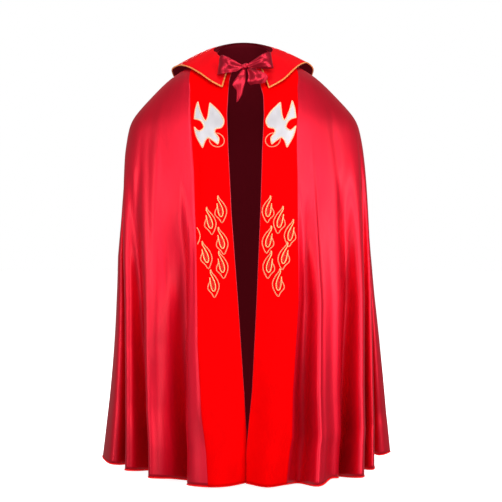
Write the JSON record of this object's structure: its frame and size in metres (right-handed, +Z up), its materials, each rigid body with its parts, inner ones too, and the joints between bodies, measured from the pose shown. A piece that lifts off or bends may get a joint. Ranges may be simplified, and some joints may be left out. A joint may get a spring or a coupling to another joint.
{
  "type": "cope",
  "caption": "Long open-front vestment cloak in red satin with front bands, turned-down pointed collar, corded edge, ribbon bow and dove appliques.",
  "frame": {"origin": "middle of the neck opening, where the wearer's neck and shoulders carry the cloth", "axes": "+Z up, the open front faces -Y, +X to the right in a view of the front"},
  "size_m": [0.9724, 0.7139, 1.4141],
  "materials": {
    "satin": "satin",
    "orphrey_red": "matte",
    "gold_cord": "twisted cord",
    "ribbon": "satin",
    "silver_cloth": "satin"
  },
  "bodies": {
    "root": {"cope_body": "satin", "orphrey_left": "orphrey_red", "orphrey_right": "orphrey_red", "collar": "orphrey_red", "collar_piping": "gold_cord", "bow_knot": "ribbon", "bow_loop_left": "ribbon", "bow_loop_right": "ribbon", "bow_tail_left": "ribbon", "bow_tail_right": "ribbon", "dove_left": "silver_cloth", "dove_right": "silver_cloth"}
  },
  "joints": []
}
